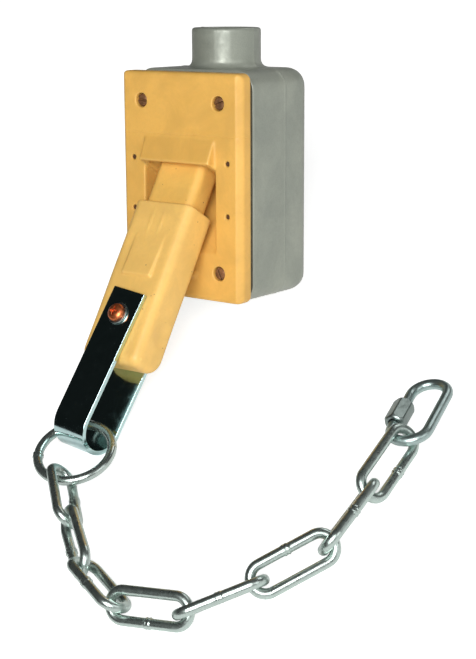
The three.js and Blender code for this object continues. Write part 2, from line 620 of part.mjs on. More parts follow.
// A flat loop of two half circles and two straights, its long way along x, its half circles finely divided.
class Loop extends THREE.Curve {
  constructor(halfStraight, radius) {
    super();
    this.halfStraight = halfStraight;
    this.radius = radius;
  }

  getPoint(t, target = new THREE.Vector3()) {
    const quarter = (t % 1) * 2;
    const side = quarter < 1 ? 1 : -1;
    const step = quarter % 1;
    const arcShare = 0.8;
    if (step < arcShare) {
      const angle = (step / arcShare - 0.5) * Math.PI;
      const x = this.halfStraight + this.radius * Math.cos(angle);
      return target.set(side * x, side * this.radius * Math.sin(angle), 0);
    }
    const along = (step - arcShare) / (1 - arcShare);
    return target.set(side * this.halfStraight * (1 - 2 * along), side * this.radius, 0);
  }

  getPointAt(u, target) {
    return this.getPoint(u, target);
  }

  getTangentAt(u, target) {
    return this.getTangent(u, target);
  }
}

// A wire bent into a closed loop of this outer length and width.
function wireLoop(length, width, wire, sides = 8, steps = 20) {
  const radius = (width - wire) / 2;
  const curve = new Loop((length - wire) / 2 - radius, radius);
  return new THREE.TubeGeometry(curve, steps, wire / 2, sides, true);
}

// Places a loop with its length along a direction, leaning about it, centred between two points.
function layLoop(piece, from, to, lean) {
  const along = to.clone().sub(from).normalize();
  const level = new THREE.Vector3(-along.y, along.x, 0).normalize();
  const up = along.clone().cross(level);
  const across = level.multiplyScalar(Math.cos(lean)).addScaledVector(up, -Math.sin(lean));
  piece.matrixAutoUpdate = false;
  piece.matrix.makeBasis(along, across, along.clone().cross(across));
  piece.matrix.setPosition(from.clone().add(to).multiplyScalar(0.5));
  return piece;
}

function chainHooks() {
  const hooks = [CHAIN_START];
  for (const { heading, endHeight } of CHAIN_LINKS) {
    const last = hooks[hooks.length - 1];
    const drop = endHeight - last.z;
    const reach = Math.sqrt(LINK_PITCH ** 2 - drop ** 2);
    const angle = THREE.MathUtils.degToRad(heading);
    const x = last.x + reach * Math.cos(angle);
    const y = last.y + reach * Math.sin(angle);
    hooks.push(new THREE.Vector3(x, y, endHeight));
  }
  return hooks;
}

function chain() {
  const hooks = chainHooks();
  return CHAIN_LINKS.map(({ lean }, index) => {
    const length = LINK_INNER_LENGTH + 2 * LINK_WIRE;
    const loop = wireLoop(length, LINK_INNER_WIDTH + 2 * LINK_WIRE, LINK_WIRE);
    const link = mesh(`chain_link_${index + 1}`, solid(loop), brightSteel);
    return layLoop(link, hooks[index], hooks[index + 1], THREE.MathUtils.degToRad(lean));
  });
}

function quickLinkBody() {
  const loop = solid(wireLoop(QUICK_LENGTH, QUICK_WIDTH, QUICK_WIRE, 10, 24));
  const side = QUICK_WIDTH / 2;
  return cut(loop, block([QUICK_GATE_START, 0, -side], [QUICK_GATE_END, side + 1, side]));
}

function quickLinkNut() {
  const half = QUICK_NUT_LENGTH / 2;
  const outer = QUICK_NUT_FLATS / Math.sqrt(3);
  const barrel = turned([[0, -half], [outer - 0.9, -half], [outer, -half + 1.2], [outer, half - 1.2],
    [outer - 0.9, half], [0, half]]);
  const nut = hexZ(QUICK_NUT_FLATS, -half, half, 0, 0).intersect(barrel);
  return cut(nut, rodZ(QUICK_WIRE / 2 + GAP, -half - 1, half + 1, 0, 0))
    .rotate([0, 90, 0]).translate([QUICK_NUT_CENTRE, (QUICK_WIDTH - QUICK_WIRE) / 2, 0]);
}

function quickLink() {
  const hooks = chainHooks();
  const near = hooks[hooks.length - 1];
  const angle = THREE.MathUtils.degToRad(QUICK_HEADING);
  const drop = QUICK_END_HEIGHT - near.z;
  const reach = Math.sqrt(QUICK_PITCH ** 2 - drop ** 2);
  const far = near.clone().add(new THREE.Vector3(reach * Math.cos(angle), reach * Math.sin(angle), drop));
  const pieces = [
    mesh('quick_link_body', quickLinkBody(), brightSteel),
    mesh('quick_link_nut', quickLinkNut(), plainSteel),
  ];
  return pieces.map((piece) => layLoop(piece, near, far, THREE.MathUtils.degToRad(QUICK_LEAN)));
}

function pullRing() {
  const torus = new THREE.TorusGeometry(RING_RADIUS, RING_WIRE / 2, 8, 40);
  const ring = mesh('pull_ring', solid(torus), brightSteel);
  ring.position.copy(RING_CENTRE);
  ring.rotation.y = RING_TILT;
  return ring;
}

// ---- Assembly ------------------------------------------------------------------------------------

const strap = new THREE.Group();
strap.position.z = STRAP_SCREW_Z;
strap.rotation.y = STRAP_SWING;
strap.add(mesh('pull_strap', pullStrap(), brightSteel));

const strapFastener = new THREE.Group();
strapFastener.position.z = STRAP_SCREW_Z;
strapFastener.add(
  mesh('strap_screw', strapScrew(), copper),
  mesh('strap_washer_front', strapWasher(WASHER_FRONT), plainSteel),
  mesh('strap_washer_rear', strapWasher(-WASHER_FRONT - WASHER_THICKNESS), plainSteel),
  mesh('strap_nut', strapNut(), plainSteel),
);

const plugAxis = new THREE.Group();
plugAxis.position.z = PLUG_AXIS_Z;
plugAxis.rotation.x = -PLUG_LEAN;
plugAxis.add(
  mesh('receptacle_body', receptacleBody(), yellowPlastic),
  mesh('plug_sleeve', plugSleeve(), yellowPlastic),
  mesh('plug_insert', plugInsert(), blackPlastic),
  mesh('shorting_bar', shortingBar(), brass),
  strap, strapFastener,
);
contactSides.forEach((side, index) => plugAxis.add(
  mesh(`socket_contact_${index + 1}`, socketContact(side), brass),
  mesh(`terminal_screw_${index + 1}`, terminalScrew(side), brass),
  mesh(`plug_pin_${index + 1}`, plugPin(side), brass),
));

const device = new THREE.Group();
device.add(
  mesh('box_body', boxBody(), greyCasting),
  mesh('ground_screw', groundScrew(), greenSteel),
  mesh('cover_gasket', coverGasket(), darkRubber),
  mesh('cover_plate', coverPlate(), yellowPlastic),
  plugAxis,
);
corners(SCREW_HALF_WIDTH, SCREW_HALF_HEIGHT).forEach(
  ([x, z], index) => device.add(mesh(`cover_screw_${index + 1}`, coverScrew(x, z), bronzeSteel)),
);
corners(PIN_HALF_WIDTH, PIN_HALF_HEIGHT).forEach(
  ([x, z], index) => device.add(mesh(`gasket_pin_${index + 1}`, gasketPin(x, z), plainSteel)),
);

// The device leans back until the strap's bend and the box's rounded heel touch the same floor.
const heel = { y: BOX_BACK - BOX_BACK_ROUND, z: BOX_BACK_ROUND - BOX_HEIGHT / 2 };
const bendReach = STRAP_BEND_BELOW_SCREW * Math.cos(STRAP_SWING) - STRAP_SCREW_Z;
const bend = { y: -bendReach * Math.sin(PLUG_LEAN), z: PLUG_AXIS_Z - bendReach * Math.cos(PLUG_LEAN) };
const bendHeight = STRAP_OUTER_RADIUS + STRAP_TWIST_DROP;
const heelToBend = { forward: heel.y - bend.y, down: heel.z - bend.z };
const deviceLean = Math.atan2(heelToBend.down, heelToBend.forward)
  + Math.asin((bendHeight - BOX_BACK_ROUND) / Math.hypot(heelToBend.forward, heelToBend.down));
device.rotation.x = -deviceLean;
device.position.y = -bend.y * Math.cos(deviceLean) - bend.z * Math.sin(deviceLean);
device.position.z = bendHeight + bend.y * Math.sin(deviceLean) - bend.z * Math.cos(deviceLean);

const floor = new THREE.Group();
floor.add(device, pullRing(), ...chain(), ...quickLink());

// The origin is the middle of the whole object's box, on the floor.
const assembly = new THREE.Group();
assembly.add(floor);
assembly.updateMatrixWorld(true);
const extent = new THREE.Box3().setFromObject(floor, true);
const centre = extent.getCenter(new THREE.Vector3());
floor.position.set(-centre.x, -centre.y, -extent.min.z);

export default assembly;
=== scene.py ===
"""Looks of the pull-chain disconnect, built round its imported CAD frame. Metres, row frame, Blender 4.5."""

import json
import math

import bmesh
import bpy
import numpy as np
from mathutils import Matrix, Vector


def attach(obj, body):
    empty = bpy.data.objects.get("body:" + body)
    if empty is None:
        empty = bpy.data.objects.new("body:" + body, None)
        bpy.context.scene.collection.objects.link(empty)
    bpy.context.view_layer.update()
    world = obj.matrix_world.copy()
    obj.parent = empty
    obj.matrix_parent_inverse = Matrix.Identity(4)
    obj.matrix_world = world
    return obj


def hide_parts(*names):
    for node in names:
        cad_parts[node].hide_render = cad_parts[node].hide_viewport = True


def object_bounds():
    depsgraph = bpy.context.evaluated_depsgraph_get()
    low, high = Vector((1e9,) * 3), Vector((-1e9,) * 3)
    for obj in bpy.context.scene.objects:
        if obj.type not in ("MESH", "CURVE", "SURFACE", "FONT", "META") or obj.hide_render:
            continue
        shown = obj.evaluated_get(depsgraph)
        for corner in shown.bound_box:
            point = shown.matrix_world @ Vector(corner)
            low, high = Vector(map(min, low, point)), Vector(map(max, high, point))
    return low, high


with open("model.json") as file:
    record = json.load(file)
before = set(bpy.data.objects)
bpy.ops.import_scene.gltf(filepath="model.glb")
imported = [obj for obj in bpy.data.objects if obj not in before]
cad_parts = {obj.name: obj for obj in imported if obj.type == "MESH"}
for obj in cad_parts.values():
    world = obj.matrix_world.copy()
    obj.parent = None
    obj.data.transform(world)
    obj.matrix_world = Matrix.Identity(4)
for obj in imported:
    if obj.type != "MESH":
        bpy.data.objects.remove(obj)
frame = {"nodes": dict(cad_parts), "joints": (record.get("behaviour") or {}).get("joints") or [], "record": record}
cad_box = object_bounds()

MM = 0.001

# Places on the hub in the cover's frame, in millimetres: its axis behind the cover's face, its top, and how
# far its mount stands to the side of that axis.
HUB_SETBACK = 39.8
HUB_TOP = 79.6
HUB_MOUNT_SIDE = 15.8

# ---- Frames of the object, all from the record's mounts and joints ---------------------------------

record = frame["record"]
mounts = {mount["name"]: mount for mount in record["mounts"]}
joints = {joint["name"]: joint for joint in frame["joints"]}


def matrix_of(origin, x, y, z):
    """A matrix with these three directions as its columns."""
    rows = [(x[i], y[i], z[i], origin[i]) for i in range(3)]
    return Matrix((*rows, (0, 0, 0, 1)))


def device_frame():
    """The cover's frame: x to the right, y to the wall, z up the cover, origin at the middle of its face."""
    x = Vector((1, 0, 0))
    y = Vector(mounts["box_back"]["axis"]).normalized()
    z = Vector(mounts["hub_face"]["axis"]).normalized()
    corner = Vector(mounts["hub_face"]["pos_m"])
    return matrix_of(corner - (HUB_MOUNT_SIDE * x + HUB_SETBACK * y + HUB_TOP * z) * MM, x, y, z)


def plug_frame():
    """The plug's frame, with the strap screw's axis on y through its origin and z up into the cover."""
    z = -Vector(joints["plug_release"]["axis"]).normalized()
    y = Vector(joints["strap_swing"]["axis"]).normalized()
    return matrix_of(Vector(joints["strap_swing"]["pos_m"]), y.cross(z), y, z)


def strap_frame():
    """The strap's frame: x across its width, z up its legs, origin on its screw."""
    x = Vector(joints["ring_swing"]["axis"]).normalized()
    y = Vector(joints["strap_swing"]["axis"]).normalized()
    return matrix_of(Vector(joints["strap_swing"]["pos_m"]), x, y, x.cross(y))


DEVICE = device_frame()
PLUG = plug_frame()
STRAP = strap_frame()
BEND_BELOW_SCREW = (Vector(joints["ring_swing"]["pos_m"]) - STRAP.translation).length


def node_points(*names):
    return [vertex.co.copy() for name in names for vertex in frame["nodes"][name].data.vertices]


def loop_frame(name, along_hint, side_hint):
    """The frame of a flat wire loop: x along its length, y towards side_hint, z across its plane."""
    points = node_points(name)
    middle = sum(points, Vector()) / len(points)
    spread = Matrix([[sum((p[i] - middle[i]) * (p[j] - middle[j]) for p in points) for j in range(3)]
                     for i in range(3)])
    normal = smallest_axis(spread)
    along = largest_axis(spread) if along_hint is None else Vector(along_hint)
    along = (along - normal * along.dot(normal)).normalized()
    side = normal.cross(along)
    if side.dot(side_hint) < 0:
        side.negate()
    return matrix_of(middle, along, side, along.cross(side))


def largest_axis(spread):
    """The direction in which points spread most, by repeated products."""
    power = spread * (1 / max(spread[i][i] for i in range(3)))
    for _ in range(8):
        power = power @ power
        power = power * (1 / max(power[i][i] for i in range(3)))
    return max((power.col[i].copy() for i in range(3)), key=lambda column: column.length).normalized()


def smallest_axis(spread):
    return largest_axis(spread.inverted())


# ---- Camera -----------------------------------------------------------------------------------------

LENS_PIXELS = 1508.3
FRAME_HEIGHT_PIXELS = 659
SENSOR = 36.0
CAMERA_PLACE = (495.3, -592.7, 96.0)
CAMERA_YAW, CAMERA_PITCH, CAMERA_ROLL = 37.68, -12.52, 0.25


def make_camera():
    data = bpy.data.cameras.new("camera")
    data.sensor_width = SENSOR
    data.lens = LENS_PIXELS / FRAME_HEIGHT_PIXELS * SENSOR
    data.clip_start, data.clip_end = 0.02, 60
    camera = bpy.data.objects.new("camera", data)
    bpy.context.scene.collection.objects.link(camera)
    turn = (Matrix.Rotation(math.radians(CAMERA_YAW), 4, "Z")
            @ Matrix.Rotation(math.radians(CAMERA_PITCH), 4, "X")
            @ Matrix.Rotation(math.radians(CAMERA_ROLL), 4, "Y"))
    place = Matrix.Translation(Vector(CAMERA_PLACE) * MM)
    camera.matrix_world = DEVICE @ place @ turn @ Matrix.Rotation(math.radians(90), 4, "X")
    bpy.context.scene.camera = camera
    return camera


camera = make_camera()
VIEW_RIGHT = camera.matrix_world.col[0].to_3d().copy()
VIEW_UP = camera.matrix_world.col[1].to_3d().copy()

# ---- Materials --------------------------------------------------------------------------------------

KEPT_PLACE = "place"


class Look:
    """A procedural material: one Principled shader and the nodes that feed it.

    Its patterns lie in the piece's own frame, which settle() keeps on the mesh, and on a CAD node in the
    row frame."""

    def __init__(self, name, roughness, metallic=0.0, on_cad=False, **constants):
        self.material = bpy.data.materials.new(name)
        self.material.use_nodes = True
        self.nodes = self.material.node_tree.nodes
        self.shader = self.nodes["Principled BSDF"]
        self.shader.inputs["Roughness"].default_value = roughness
        self.shader.inputs["Metallic"].default_value = metallic
        for socket, value in constants.items():
            self.shader.inputs[socket.replace("_", " ")].default_value = value
        self.place = self.nodes.new("ShaderNodeTexCoord").outputs["Object"] if on_cad else self.kept_place()
        self.height = None

    def kept_place(self):
        node = self.nodes.new("ShaderNodeAttribute")
        node.attribute_type = "GEOMETRY"
        node.attribute_name = KEPT_PLACE
        return node.outputs["Vector"]

    def link(self, source, target):
        self.material.node_tree.links.new(source, target)

    def put(self, node, socket, value):
        """Sets a socket to a number, or links another node's output to it."""
        if isinstance(value, bpy.types.NodeSocket):
            self.link(value, node.inputs[socket])
        else:
            node.inputs[socket].default_value = value

    def stretched(self, scale):
        mapping = self.nodes.new("ShaderNodeMapping")
        self.link(self.place, mapping.inputs["Vector"])
        mapping.inputs["Scale"].default_value = scale
        return mapping.outputs["Vector"]

    def noise(self, size_mm, detail=3.0, rough=0.55, place=None, warp=0.0):
        node = self.nodes.new("ShaderNodeTexNoise")
        self.link(place or self.place, node.inputs["Vector"])
        node.inputs["Scale"].default_value = 1 / (size_mm * MM)
        node.inputs["Detail"].default_value = detail
        node.inputs["Roughness"].default_value = rough
        node.inputs["Distortion"].default_value = warp
        return node.outputs["Fac"]

    def cells(self, size_mm, feature="F1"):
        node = self.nodes.new("ShaderNodeTexVoronoi")
        node.feature = feature
        self.link(self.place, node.inputs["Vector"])
        node.inputs["Scale"].default_value = 1 / (size_mm * MM)
        return node.outputs["Distance"]

    def span(self, value, low, high, out_low=0.0, out_high=1.0):
        node = self.nodes.new("ShaderNodeMapRange")
        node.interpolation_type = "SMOOTHSTEP"
        self.put(node, "Value", value)
        limits = (("From Min", low), ("From Max", high), ("To Min", out_low), ("To Max", out_high))
        for socket, number in limits:
            node.inputs[socket].default_value = number
        return node.outputs["Result"]

    def math(self, operation, first, second=0.0):
        node = self.nodes.new("ShaderNodeMath")
        node.operation = operation
        self.put(node, 0, first)
        self.put(node, 1, second)
        return node.outputs[0]

    def mix(self, amount, first, second, blend="MIX"):
        node = self.nodes.new("ShaderNodeMixRGB")
        node.blend_type = blend
        self.put(node, "Fac", amount)
        self.put(node, "Color1", first)
        self.put(node, "Color2", second)
        return node.outputs["Color"]

    def axis(self, index):
        node = self.nodes.new("ShaderNodeSeparateXYZ")
        self.link(self.place, node.inputs[0])
        return node.outputs[index]

    def edges(self):
        """Where the surface turns outward, from 0.5 on a flat upward."""
        return self.nodes.new("ShaderNodeNewGeometry").outputs["Pointiness"]

    def colour(self, value):
        self.put(self.shader, "Base Color", value)

    def roughness(self, value):
        self.link(value, self.shader.inputs["Roughness"])

    def bump(self, value, depth_mm, strength=1.0):
        node = self.nodes.new("ShaderNodeBump")
        node.inputs["Distance"].default_value = depth_mm * MM
        node.inputs["Strength"].default_value = strength
        self.link(value, node.inputs["Height"])
        if self.height:
            self.link(self.height, node.inputs["Normal"])
        self.height = node.outputs["Normal"]
        self.link(self.height, self.shader.inputs["Normal"])


def rgb(red, green, blue):
    """A colour in linear light from its 0 to 255 screen values."""
    def linear(value):
        share = value / 255
        return share / 12.92 if share <= 0.04045 else ((share + 0.055) / 1.055) ** 2.4
    return (linear(red), linear(green), linear(blue), 1.0)


def yellow_moulding(name, base, pits, seam_mm=None):
    """Moulded yellow plastic: cloudy colour, a fine matt grain and small dark pits."""
    look = Look(name, 0.5, IOR=1.48, Subsurface_Weight=0.06, Subsurface_Scale=0.002)
    look.shader.inputs["Subsurface Radius"].default_value = (1.0, 0.45, 0.12)
    dark, pale = [tuple(channel * share for channel in base[:3]) + (1.0,) for share in (0.91, 1.06)]
    cloudy = look.mix(look.span(look.noise(22, 4, 0.6, warp=0.6), 0.32, 0.68), dark, pale)
    flecked = look.mix(look.span(look.noise(1.7, 3), 0.38, 0.72, 0, 0.28), cloudy, dark)
    # Convex edges turn paler: partly wear, partly a painted highlight along the edges.
    pale_edge_highlight_and_wear = look.mix(look.span(look.edges(), 0.51, 0.58, 0, 0.45), flecked, rgb(250, 214, 132))
    # Painted shade: hollows and inside corners turn dark orange, the tone of the shade there.
    painted_recess_shade = look.mix(look.span(look.edges(), 0.49, 0.43, 0, 0.4), pale_edge_highlight_and_wear, rgb(176, 104, 38))
    pit_shapes = look.span(look.cells(3.4), 0.13, 0.07)
    pitted_areas = look.span(look.noise(9, 2), pits, pits + 0.06)
    spots = look.math("MULTIPLY", pit_shapes, pitted_areas)
    look.colour(look.mix(look.math("MULTIPLY", spots, 0.75), painted_recess_shade, rgb(120, 84, 46)))
    look.roughness(look.span(look.noise(6, 4), 0.3, 0.7, 0.42, 0.6))
    if seam_mm is not None:
        distance = look.math("ABSOLUTE", look.math("SUBTRACT", look.axis(2), seam_mm * MM))
        look.bump(look.span(distance, 0.0, 0.45 * MM), 0.1, 0.6)
    look.bump(look.noise(14, 2), 0.25, 0.5)
    look.bump(look.noise(0.45, 3), 0.035, 0.6)
    look.bump(look.math("SUBTRACT", 1.0, spots), 0.12, 0.8)
    return look.material


def grey_casting(name, parting_mm=None):
    """A casting under grey lacquer: soft orange peel, fine grain and paler edges, partly wear and partly a painted
    highlight.
    """
    look = Look(name, 0.42, 0.25, Coat_Weight=0.12, Coat_Roughness=0.35)
    clouds = look.span(look.noise(30, 4, 0.6, warp=0.4), 0.3, 0.7)
    base = look.mix(clouds, rgb(144, 149, 138), rgb(161, 165, 152))
    grain = look.mix(look.span(look.noise(0.6, 2), 0.35, 0.7, 0, 0.3), base, rgb(126, 132, 123))
    # Paler convex edges: wear together with a painted highlight.
    edge_highlight_and_rubbing = look.span(look.edges(), 0.515, 0.57, 0, 0.6)
    look.colour(look.mix(edge_highlight_and_rubbing, grain, rgb(176, 180, 170)))
    look.roughness(look.span(look.noise(3.5, 4), 0.3, 0.7, 0.34, 0.5))
    if parting_mm is not None:
        distance = look.math("ABSOLUTE", look.math("SUBTRACT", look.axis(1), parting_mm * MM))
        look.bump(look.span(distance, 0.9 * MM, 0.1 * MM), 0.12, 0.7)
    look.bump(look.noise(2.2, 2), 0.06, 0.6)
    look.bump(look.noise(0.5, 3), 0.03, 0.5)
    return look.material


def plated_steel(name, base, roughness, haze=0.14, grain=(1.0, 1.0, 1.0), metallic=1.0):
    """Bright plating: a cloudy haze in the gloss and fine drawn streaks along grain's smallest scale."""
    look = Look(name, roughness, metallic)
    stain = look.span(look.noise(7, 5, 0.65, warp=1.0), 0.42, 0.75)
    dull = tuple(channel * 0.78 for channel in base[:3]) + (1.0,)
    look.colour(look.mix(look.math("MULTIPLY", stain, 0.6), base, dull))
    streaks = look.noise(0.8, 3, 0.6, place=look.stretched(grain))
    hazy = look.math("ADD", look.span(look.noise(4, 5, 0.7), 0.45, 0.8, roughness, roughness + haze),
                     look.math("MULTIPLY", streaks, 0.05))
    look.roughness(hazy)
    look.bump(streaks, 0.012, 0.35)
    look.bump(look.noise(3.0, 3), 0.02, 0.35)
    return look.material


def plain_metal(name, base, roughness, spread=0.12, metallic=1.0, on_cad=False):
    """A small metal part: mottled plating, darker in random patches and brighter on its edges, where the
    brightening is a painted highlight.
    """
    look = Look(name, roughness, metallic, on_cad)
    dark = tuple(channel * 0.55 for channel in base[:3]) + (1.0,)
    pale = tuple(min(1.0, channel * 1.25) for channel in base[:3]) + (1.0,)
    mottled = look.mix(look.span(look.noise(1.4, 4, 0.6), 0.35, 0.7), base, dark)
    # Brighter convex edges: a painted highlight.
    look.colour(look.mix(look.span(look.edges(), 0.52, 0.6, 0, 0.8), mottled, pale))
    look.roughness(look.span(look.noise(0.9, 3), 0.3, 0.7, roughness, roughness + spread))
    look.bump(look.noise(0.35, 2), 0.015, 0.4)
    return look.material


def dark_moulding(name, base, roughness):
    """Rubber or black plastic with a fine grain and a little dust, for CAD nodes."""
    look = Look(name, roughness, on_cad=True)
    pale = tuple(channel * 1.8 + 0.01 for channel in base[:3]) + (1.0,)
    look.colour(look.mix(look.span(look.noise(2.5, 4, 0.65), 0.4, 0.75, 0, 0.6), base, pale))
    look.roughness(look.span(look.noise(1.2, 3), 0.3, 0.7, roughness - 0.08, roughness + 0.08))
    look.bump(look.noise(0.4, 3), 0.04, 0.6)
    return look.material


PARTING_DEPTH = HUB_SETBACK
SEAM_HEIGHT = 26.5
looks = {
    "cover": yellow_moulding("yellow_cover", rgb(224, 174, 87), 0.66, SEAM_HEIGHT),
    # The nozzle's and sleeve's yellows are paler than the cover's as painted light, standing in for more light on
    # their upward faces.
    "nozzle": yellow_moulding("yellow_nozzle", rgb(236, 187, 96), 0.5),
    "sleeve": yellow_moulding("yellow_sleeve", rgb(240, 194, 108), 0.58),
    "casting": grey_casting("grey_casting", PARTING_DEPTH),
    "thread": grey_casting("grey_thread"),
    "gasket": dark_moulding("gasket_rubber", rgb(70, 64, 46), 0.8),
    "insert": dark_moulding("insert_plastic", rgb(28, 28, 30), 0.5),
    "bronze": plain_metal("bronze_screw", rgb(146, 104, 70), 0.46, metallic=0.55),
    "pins": plain_metal("gasket_pin", rgb(88, 60, 38), 0.55, metallic=0.3, on_cad=True),
    "green": plain_metal("green_screw", rgb(58, 118, 70), 0.4, metallic=0.5, on_cad=True),
    "brass": plain_metal("brass", rgb(206, 168, 92), 0.28, on_cad=True),
    "copper": plain_metal("copper_plate", rgb(240, 134, 82), 0.3, 0.12, 0.9),
    "steel": plain_metal("zinc_plate", rgb(190, 194, 190), 0.26),
    "strap": plated_steel("strap_plate", rgb(200, 228, 228), 0.07, 0.12, (1.0, 1.0, 0.08)),
    "chain": plated_steel("chain_plate", rgb(192, 206, 200), 0.25, 0.18, (0.1, 1.0, 1.0), 0.94),
    "ring": plated_steel("ring_plate", rgb(192, 204, 199), 0.2, 0.16, (1.0, 1.0, 1.0), 0.92),
    "quick": plated_steel("quick_plate", rgb(172, 190, 187), 0.3, 0.18, (0.1, 1.0, 1.0), 0.92),
    "nut": plated_steel("nut_plate", rgb(142, 154, 150), 0.3, 0.2, (0.15, 1.0, 1.0), 0.95),
}

# ---- Mesh helpers -----------------------------------------------------------------------------------


def new_piece(name, mesh, place, look):
    piece = bpy.data.objects.new(name, mesh)
    bpy.context.scene.collection.objects.link(piece)
    piece.matrix_world = place
    mesh.materials.clear()
    mesh.materials.append(looks[look])
    return piece


def mesh_from(name, bm):
    bmesh.ops.recalc_face_normals(bm, faces=bm.faces)
    mesh = bpy.data.meshes.new(name)
    bm.to_mesh(mesh)
    bm.free()
    mesh.shade_smooth()
    return mesh


def keep_modifiers(piece):
    """Replaces the piece's mesh by the one its modifiers make."""
    bpy.context.view_layer.update()
    shaped = piece.evaluated_get(bpy.context.evaluated_depsgraph_get())
    mesh = bpy.data.meshes.new_from_object(shaped)
    look = piece.data.materials[0]
    piece.modifiers.clear()
    piece.data = mesh
    mesh.materials.clear()
    mesh.materials.append(look)
    mesh.shade_smooth()
    return piece


def melt(piece, voxel_mm, passes):
    """Gives a hard-edged solid the small even edge rounds of a moulded or cast one."""
    remesh = piece.modifiers.new("remesh", "REMESH")
    remesh.mode = "VOXEL"
    remesh.voxel_size = voxel_mm * MM
    smooth = piece.modifiers.new("smooth", "SMOOTH")
    smooth.factor = 0.5
    smooth.iterations = passes
    return keep_modifiers(piece)


def cad_copy(name, node, place, look):
    """A CAD node's mesh, welded, in the frame of place."""
    bm = bmesh.new()
    bm.from_mesh(frame["nodes"][node].data)
    bmesh.ops.remove_doubles(bm, verts=bm.verts, dist=0.002 * MM)
    bm.transform(place.inverted())
    return new_piece(name, mesh_from(name, bm), place, look)


def push(piece, shift):
    """Moves each vertex along its normal by shift(x, y, z, normal) millimetres, in the piece's own frame."""
    mesh = piece.data
    moves = []
    for vertex in mesh.vertices:
        x, y, z = vertex.co / MM
        moves.append(vertex.co + vertex.normal * shift(x, y, z, vertex.normal) * MM)
    for vertex, place in zip(mesh.vertices, moves):
        vertex.co = place
    mesh.update()


def cut_by(piece, cutter):
    """Takes the cutter's solid out of the piece, and removes the cutter."""
    difference = piece.modifiers.new("cut", "BOOLEAN")
    difference.operation = "DIFFERENCE"
    difference.solver = "EXACT"
    difference.object = cutter
    keep_modifiers(piece)
    bpy.data.objects.remove(cutter)
    return piece


def settle(piece, body, slot, *nodes):
    """Moves the piece's shape into the row frame and inside the CAD model's box, puts it under its body's empty
    and hides the CAD nodes it replaces.

    The piece's own coordinates stay on its mesh for its look."""
    mesh = piece.data
    kept = mesh.attributes.new(KEPT_PLACE, "FLOAT_VECTOR", "POINT")
    values = np.zeros(3 * len(mesh.vertices), np.float32)
    mesh.vertices.foreach_get("co", values)
    kept.data.foreach_set("vector", values)
    mesh.transform(piece.matrix_world)
    piece.matrix_world = Matrix.Identity(4)
    mesh.vertices.foreach_get("co", values)
    inside = np.clip(values.reshape(-1, 3), np.array(cad_box[0]), np.array(cad_box[1]))
    mesh.vertices.foreach_set("co", inside.astype(np.float32).ravel())
    mesh.update()
    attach(piece, body)
    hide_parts(*nodes)


def flat_faced(piece, sharp_degrees=35):
    """Keeps large faces flat in the shading while the rounds between them stay smooth."""
    piece.data.set_sharp_from_angle(angle=math.radians(sharp_degrees))
    weighted = piece.modifiers.new("normals", "WEIGHTED_NORMAL")
    weighted.keep_sharp = True
    return piece


def angles_round(sides):
    return [2 * math.pi * i / sides for i in range(sides)]


def ring_about_y(radius, y, sides):
    return [Vector((radius * math.cos(a), y, radius * math.sin(a))) * MM for a in angles_round(sides)]


def grid_solid(name, rings, closed_along=False):
    """A solid skin over rings of points, each ring closed; open ends get one face each."""
    bm = bmesh.new()
    made = [[bm.verts.new(point) for point in ring] for ring in rings]
    count = len(made[0])
    pairs = list(zip(made, made[1:] + made[:1])) if closed_along else list(zip(made, made[1:]))
    for first, second in pairs:
        for i in range(count):
            j = (i + 1) % count
            bm.faces.new((first[i], first[j], second[j], second[i]))
    if not closed_along:
        bm.faces.new(reversed(made[0]))
        bm.faces.new(made[-1])
    return mesh_from(name, bm)


def turned(name, profile, sides=72):
    """A solid of revolution about y, from (radius, y) pairs in millimetres whose ends are on the axis."""
    return grid_solid(name, [ring_about_y(radius, y, sides) for radius, y in profile[1:-1]])


def tube(name, path, radius_at, sides=28, closed=True):
    """A wire along a flat path of (x, y, tangent x, tangent y, length so far), all in millimetres.

    radius_at(index, angle) gives its radius at a point of the path."""
    rings = []
    for index, (x, y, tx, ty, _) in enumerate(path):
        ring = []
        for angle in angles_round(sides):
            radius = radius_at(index, angle)
            out = radius * math.cos(angle)
            ring.append(Vector((x + ty * out, y - tx * out, radius * math.sin(angle))) * MM)
        rings.append(ring)
    return grid_solid(name, rings, closed_along=closed)


def stadium(half_straight, radius, step):
    """Points round a flat loop of two straights and two half circles, from the middle of its +y straight."""
    points = []
    length = 0.0

    def straight(x0, x1, y, heading):
        nonlocal length
        count = max(1, round(abs(x1 - x0) / step))
        for i in range(count):
            x = x0 + (x1 - x0) * i / count
            points.append((x, y, heading, 0.0, length + abs(x - x0)))
        length += abs(x1 - x0)

    def half_circle(x, side):
        nonlocal length
        count = max(16, round(math.pi * radius / step))
        for i in range(count):
            a = math.pi * i / count
            points.append((x + side * radius * math.sin(a), side * radius * math.cos(a),
                           side * math.cos(a), -side * math.sin(a), length + radius * a))
        length += math.pi * radius

    straight(0, half_straight, radius, 1)
    half_circle(half_straight, 1)
    straight(half_straight, -half_straight, -radius, -1)
    half_circle(-half_straight, -1)
    straight(-half_straight, 0, radius, 1)
    return points, length


# ---- Cover, box, nozzle and sleeve ------------------------------------------------------------------


def bell(distance, width):
    """1 at distance 0, falling smoothly to 0 at width."""
    share = min(1.0, abs(distance) / width)
    return (1 - share * share) ** 2


MARK_PLACE, MARK_RADIUS, MARK_HEIGHT = (9, -44.7), 3.4, 0.9
SEAM_WIDTH, SEAM_DEPTH = 0.7, 0.12


